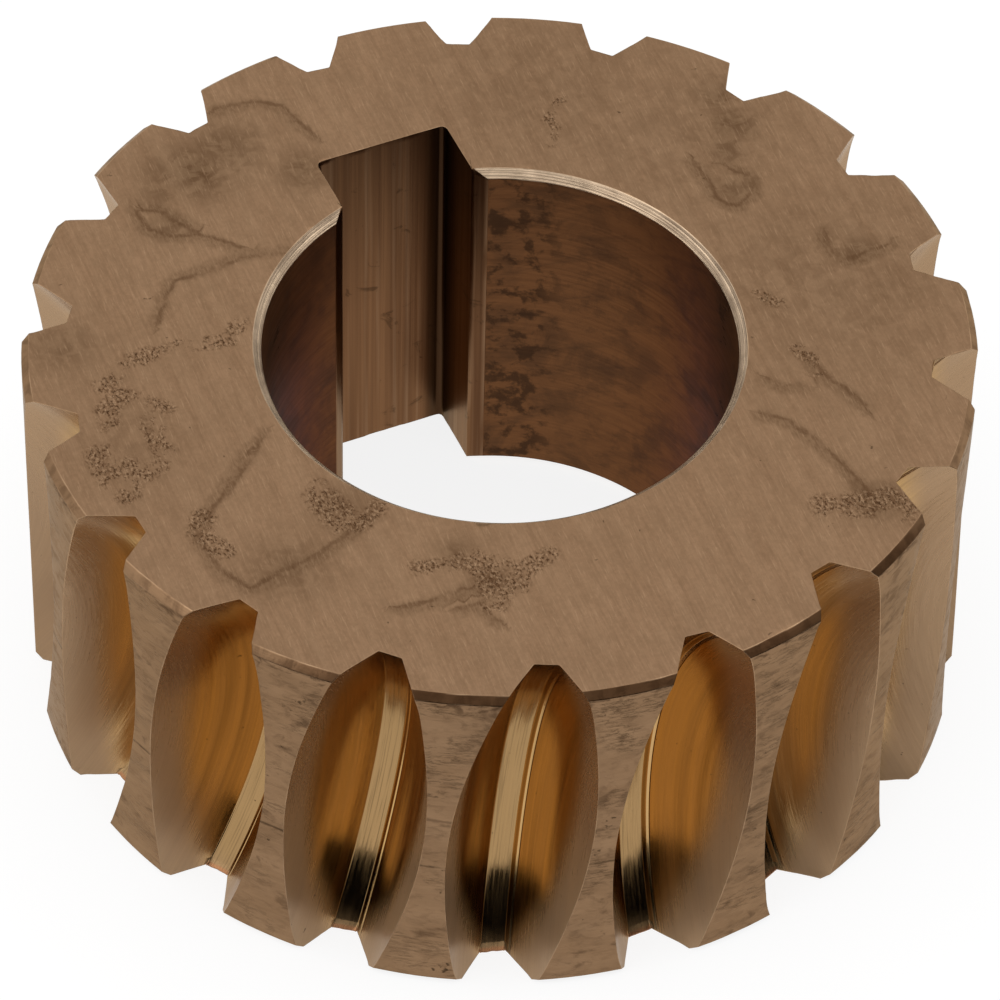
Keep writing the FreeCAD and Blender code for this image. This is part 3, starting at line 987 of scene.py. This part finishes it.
def bronze_broached_keyway(tree, colours):
    """Bronze, broached: straight scored bands down the keyway, some bright and some dark, and a
    painted shadow in one corner.
    """
    place = add_node(tree, "ShaderNodeUVMap", uv_map=UV_NAME)
    bands = cut_lines(tree, place, 1.3, 60.0)
    pale = cut_lines(tree, place, 0.6, 30.0, seed=8.2, low=0.5, high=0.75)
    fine = cut_lines(tree, place, 0.12, 20.0, seed=4.4)
    spots = blotches(tree, place, 1.2, 0.62, 0.70, seed=0.01)
    along = add_node(tree, "ShaderNodeSeparateXYZ", {0: place})
    # Painted shadow: a dark band in the keyway's corner, in the pit colour
    corner = band(tree, along, SHADED_CORNER * MM, 0.4 * MM, 0.7 * MM)
    solid_place = add_node(tree, "ShaderNodeTexCoord").outputs["Object"]
    height = add_node(tree, "ShaderNodeSeparateXYZ", {0: solid_place}).outputs[2]
    upper = add_node(tree, "ShaderNodeMapRange",
                     {"Value": height, "From Min": -1.0 * MM, "From Max": 9.0 * MM})
    shade = coats(tree, colours, "keyway",
                  ("keyway_dark", bands, 0.9),
                  ("keyway_dark", fine, 0.25),
                  ("edge", pale, 0.2),
                  ("pit", upper, 0.5),
                  # painted shadow in the keyway's corner
                  ("pit", corner, 0.8),
                  ("pit", spots, 0.5),
                  ("edge", "edge", 0.5))
    finish_metal(tree, shade, (fine, 0.28, 0.38), [(fine, 0.002)])


# The material of each zone of the skin, named as the function that makes it
FINISHES = {
    "ground_face": bronze_surface_ground,
    "turned_land": bronze_turned_land,
    "turned_chamfer": bronze_turned_bevel,
    "hobbed_gap": bronze_hobbed_gap,
    "bored_wall": bronze_bored_wall,
    "bore_chamfer": bronze_ringed_chamfer,
    "broached_keyway": bronze_broached_keyway,
}


class WORMGEAR_OT_wheel(bpy.types.Operator):
    """Models the wheel's worn skin over the solid and gives each surface its finish"""
    bl_idname = "worm_gear.wheel"
    bl_label = "Wheel"

    def execute(self, context):
        sizes = context.scene.worm_gear_sizes
        colours = context.scene.worm_gear_colours
        skin = new_object("wheel_skin", build_skin(Wheel(sizes)))
        for finish in FINISHES.values():
            material, tree = new_material(finish.__name__)
            finish(tree, colours)
            skin.data.materials.append(material)
        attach(skin, "root")
        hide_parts(NODE)
        return {"FINISHED"}


class StageSizes(bpy.types.PropertyGroup):
    """The camera, the light and the floor."""
    azimuth: angle("Camera azimuth", -24.63, "Round the axis, 0 looks along +Y")
    elevation: angle("Camera elevation", 47.18, "Above the horizon")
    roll: angle("Camera roll", 1.337, "Turn about the line of sight")
    distance: length("Camera distance", 295.47, "From the point it looks at")
    focal_length: FloatProperty(name="Focal length", description="Of the camera's lens",
                                default=248.4, unit="CAMERA")
    sky: FloatProperty(name="Sky", description="Strength of the white surround", default=0.8)
    key: FloatProperty(name="Key light", description="Strength of the main soft box",
                       default=1.5, unit="POWER")
    floor_size: length("Floor, size", 6000, "Side of the square floor")
    floor: colour("Floor", "#7c7c7c", "Matt floor, before its glow")
    glow: FloatProperty(name="Floor glow", default=0.84,
                        description="What lifts the floor to white")
    dark_aside: angle("Dark wall, turn", 21.5, "From the camera to the dark wall's middle")
    dark_half: angle("Dark wall, half width", 62, "To each side of its middle")
    dark_height: length("Dark wall, height", 41, "Above the floor")
    dark_distance: length("Dark wall, distance", 80, "From the wheel's axis")


def shown_white(tree, plain, shown):
    """One strength for plain light, and another for the camera and for what metal shows."""
    path = add_node(tree, "ShaderNodeLightPath").outputs
    seen = add_node(tree, "ShaderNodeMath",
                    {0: path["Is Camera Ray"], 1: path["Is Glossy Ray"]}, operation="MAXIMUM")
    seen = add_node(tree, "ShaderNodeMath",
                    {0: seen, 1: path["Is Transmission Ray"]}, operation="MAXIMUM")
    return add_node(tree, "ShaderNodeMapRange", {"Value": seen, "To Min": plain, "To Max": shown})


def set_world(stage):
    """A white surround."""
    world = bpy.data.worlds.new("white_surround")
    bpy.context.scene.world = world
    world.use_nodes = True
    tree = world.node_tree
    tree.nodes.clear()
    background = add_node(tree, "ShaderNodeBackground",
                          {"Color": (1, 1, 1, 1), "Strength": shown_white(tree, stage.sky, 1.0)})
    add_node(tree, "ShaderNodeOutputWorld", {"Surface": background})


def lay_floor(stage):
    """A matt white floor. Its glow lifts it to white for the camera and keeps the shadow."""
    bm = bmesh.new()
    bmesh.ops.create_grid(bm, x_segments=1, y_segments=1, size=stage.floor_size / 2)
    sheet = new_object("studio_floor", bm)
    sheet.location.z = CAD_BOX[0][2]
    material, tree = new_material("paper_matt_white")
    shader = add_node(tree, "ShaderNodeBsdfPrincipled",
                      {"Base Color": rgba(stage.floor), "Roughness": 1.0,
                       "Specular IOR Level": 0.0, "Emission Color": (1, 1, 1, 1),
                       "Emission Strength": shown_white(tree, 0.0, stage.glow)})
    add_node(tree, "ShaderNodeOutputMaterial", {"Surface": shader})
    sheet.data.materials.append(material)


SOFT_BOX_DISTANCE = 0.9          # metres from the wheel


def soft_box(name, azimuth, elevation, width, power):
    """A square soft light, in metres, aimed at the wheel from a direction in degrees."""
    lamp = bpy.data.lights.new(name, "AREA")
    lamp.shape = "SQUARE"
    lamp.size = width
    lamp.energy = power
    light = bpy.data.objects.new(name, lamp)
    bpy.context.scene.collection.objects.link(light)
    away = direction(math.radians(azimuth), math.radians(elevation))
    light.location = away * SOFT_BOX_DISTANCE
    light.rotation_euler = away.to_track_quat("Z", "Y").to_euler()


def direction(azimuth, elevation):
    """The way from the wheel to a viewpoint. Azimuth 0 is on the -Y side."""
    flat = math.cos(elevation)
    return Vector((math.sin(azimuth) * flat, -math.cos(azimuth) * flat, math.sin(elevation)))


def dark_wall(stage):
    """A low wall of black felt round the camera's side of the floor, which only gloss shows."""
    bm = bmesh.new()
    first = stage.azimuth + stage.dark_aside - stage.dark_half
    foot = direction(first, 0.0) * stage.dark_distance + Vector((0, 0, CAD_BOX[0][2]))
    top = foot + Vector((0, 0, stage.dark_height))
    side = bm.edges.new((bm.verts.new(foot), bm.verts.new(top)))
    bmesh.ops.spin(bm, geom=[side, *side.verts], cent=(0, 0, 0), axis=(0, 0, 1),
                   dvec=(0, 0, 0), angle=2 * stage.dark_half, steps=32, use_merge=False,
                   use_normal_flip=False, use_duplicate=False)
    wall = new_object("dark_wall", bm)
    for kind in ("camera", "diffuse", "transmission", "volume_scatter", "shadow"):
        setattr(wall, f"visible_{kind}", False)
    material, tree = new_material("felt_black")
    shader = add_node(tree, "ShaderNodeBsdfPrincipled",
                      {"Base Color": rgba(linear("#0d0d0d")), "Roughness": 1.0,
                       "Specular IOR Level": 0.0})
    add_node(tree, "ShaderNodeOutputMaterial", {"Surface": shader})
    wall.data.materials.append(material)


AIM = (0.126, -0.058, -0.76)     # the place that the camera looks at, in millimetres


def set_camera(stage):
    """The camera at the photograph's angle."""
    lens = bpy.data.cameras.new("camera")
    lens.lens = stage.focal_length
    lens.sensor_width = 36
    lens.clip_start = 0.01
    lens.clip_end = 20
    camera = bpy.data.objects.new("camera", lens)
    bpy.context.scene.collection.objects.link(camera)
    away = direction(stage.azimuth, stage.elevation)
    camera.location = Vector(AIM) * MM + away * stage.distance
    turn = away.to_track_quat("Z", "Y").to_matrix() @ Matrix.Rotation(stage.roll, 3, "Z")
    camera.rotation_euler = turn.to_euler()
    bpy.context.scene.camera = camera


class WORMGEAR_OT_stage(bpy.types.Operator):
    """Sets up the floor, the soft light, the white surround and the camera"""
    bl_idname = "worm_gear.stage"
    bl_label = "Stage"

    def execute(self, context):
        stage = context.scene.worm_gear_stage
        context.scene.view_settings.view_transform = "Standard"
        set_world(stage)
        lay_floor(stage)
        soft_box("soft_box_left", azimuth=-95, elevation=50, width=0.7, power=stage.key)
        soft_box("soft_box_right", azimuth=70, elevation=60, width=0.5, power=stage.key / 2)
        dark_wall(stage)
        set_camera(stage)
        return {"FINISHED"}


class WORMGEAR_PT_panel(bpy.types.Panel):
    """Lists the wheel's and the stage's settings and their operators"""
    bl_idname = "WORMGEAR_PT_panel"
    bl_label = "Worm gear"
    bl_space_type = "VIEW_3D"
    bl_region_type = "UI"
    bl_category = "Worm gear"

    def draw(self, context):
        layout = self.layout
        for operator, group in ((WORMGEAR_OT_wheel, "worm_gear_sizes"),
                                (None, "worm_gear_colours"),
                                (WORMGEAR_OT_stage, "worm_gear_stage")):
            box = layout.box()
            settings = getattr(context.scene, group)
            for name in settings.bl_rna.properties.keys():
                if name not in ("rna_type", "name"):
                    box.prop(settings, name)
            if operator:
                box.operator(operator.bl_idname)


CLASSES = [WheelSizes, WheelColours, StageSizes, WORMGEAR_OT_wheel, WORMGEAR_OT_stage,
           WORMGEAR_PT_panel]


def register():
    for cls in CLASSES:
        bpy.utils.register_class(cls)
    bpy.types.Scene.worm_gear_sizes = PointerProperty(type=WheelSizes)
    bpy.types.Scene.worm_gear_colours = PointerProperty(type=WheelColours)
    bpy.types.Scene.worm_gear_stage = PointerProperty(type=StageSizes)


def unregister():
    del bpy.types.Scene.worm_gear_stage
    del bpy.types.Scene.worm_gear_colours
    del bpy.types.Scene.worm_gear_sizes
    for cls in reversed(CLASSES):
        bpy.utils.unregister_class(cls)


def main():
    register()
    bpy.ops.worm_gear.wheel()
    bpy.ops.worm_gear.stage()


if __name__ == "__main__":
    main()
